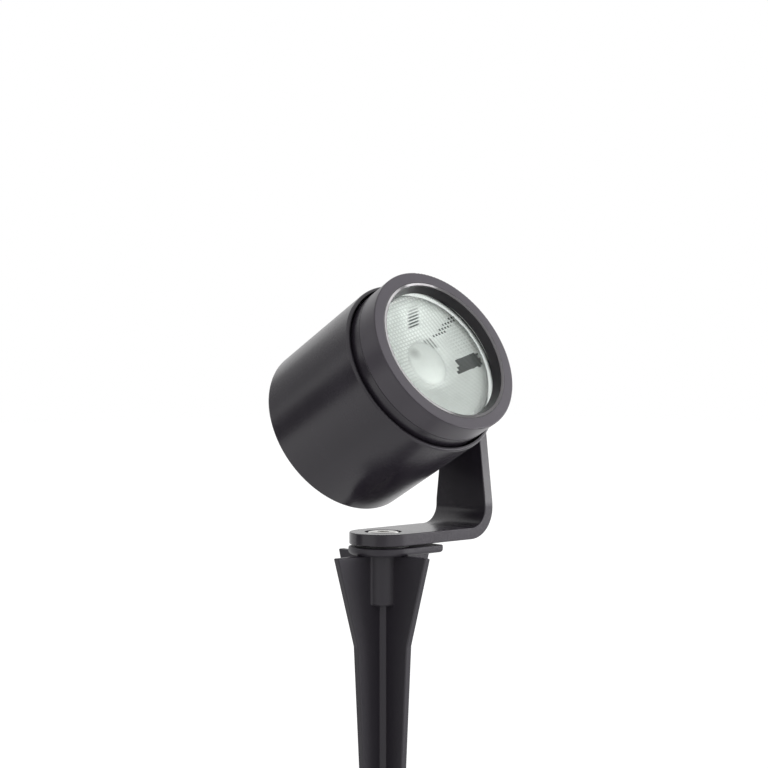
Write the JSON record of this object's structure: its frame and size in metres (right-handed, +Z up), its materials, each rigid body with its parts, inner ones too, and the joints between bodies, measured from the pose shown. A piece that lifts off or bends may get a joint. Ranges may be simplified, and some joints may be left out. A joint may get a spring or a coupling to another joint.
{
  "type": "garden spike spotlight",
  "caption": "Round LED garden spotlight with a deep sleeve and bezel, tilting on a bent flat bracket that swivels on a finned plastic ground spike.",
  "frame": {"origin": "where the spike's axis meets the ground, at the underside of the spike's flange", "axes": "+Z up along the spike, +X from the spike to the bracket's arm, lamp shining towards -Y"},
  "size_m": [0.0761, 0.0793, 0.2788],
  "materials": {
    "spike_plastic": "fine moulded texture, charcoal",
    "coated_metal": "satin powder coat, charcoal",
    "bezel_coating": "satin powder coat, charcoal, on a flat turned face",
    "stainless": "bright stainless steel",
    "brass": "turned",
    "black_plastic": "moulded, black",
    "seal_rubber": "black silicone",
    "window_glass": "flat clear glass with a faint green tint",
    "optic_clear": "clear moulded optic with a faceted front",
    "white_plastic": "white",
    "pad_grey": "grey heat-conducting pad",
    "board_white": "white solder mask",
    "emitter_yellow": "yellow phosphor",
    "lead_red": "insulated",
    "board_green": "green solder mask",
    "ferrite": "ferrite drum",
    "capacitor_metal": "aluminium can"
  },
  "bodies": {
    "spike": {"ground_spike": "spike_plastic", "spike_insert": "brass", "swivel_washer": "black_plastic", "swivel_screw": "stainless"},
    "bracket": {"bracket": "coated_metal"},
    "head": {"outer_sleeve": "coated_metal", "lamp_housing": "coated_metal", "front_bezel": "bezel_coating", "bezel_oring": "seal_rubber", "glass_gasket": "seal_rubber", "front_glass": "window_glass", "optic": "optic_clear", "optic_holder": "white_plastic", "thermal_pad": "pad_grey", "led_board": "board_white", "led_chip": "emitter_yellow", "board_screws": "stainless", "led_leads": "lead_red", "driver_board": "board_green", "driver_screws": "stainless", "driver_inductor": "ferrite", "driver_capacitors": "capacitor_metal", "driver_chip": "black_plastic", "driver_cover": "coated_metal", "cover_screws": "stainless", "cover_oring": "seal_rubber", "gland_body": "black_plastic", "gland_washer": "seal_rubber", "gland_locknut": "black_plastic", "gland_seal": "seal_rubber", "gland_cap": "black_plastic", "pivot_spacer": "coated_metal", "friction_washer": "black_plastic", "pivot_washer": "stainless", "lock_washer": "stainless", "pivot_bolt": "stainless"}
  },
  "joints": [
    {"name": "foot_swivel", "type": "hinge", "parent": "spike", "child": "bracket", "pos_m": [0, 0, 0.0054], "axis": [0, 0, 1], "range_deg": [-180, 180]},
    {"name": "head_tilt", "type": "hinge", "parent": "bracket", "child": "head", "pos_m": [0.0394, 0, 0.0545], "axis": [-1, 0, 0], "range_deg": [-58.15, 61.85]}
  ]
}
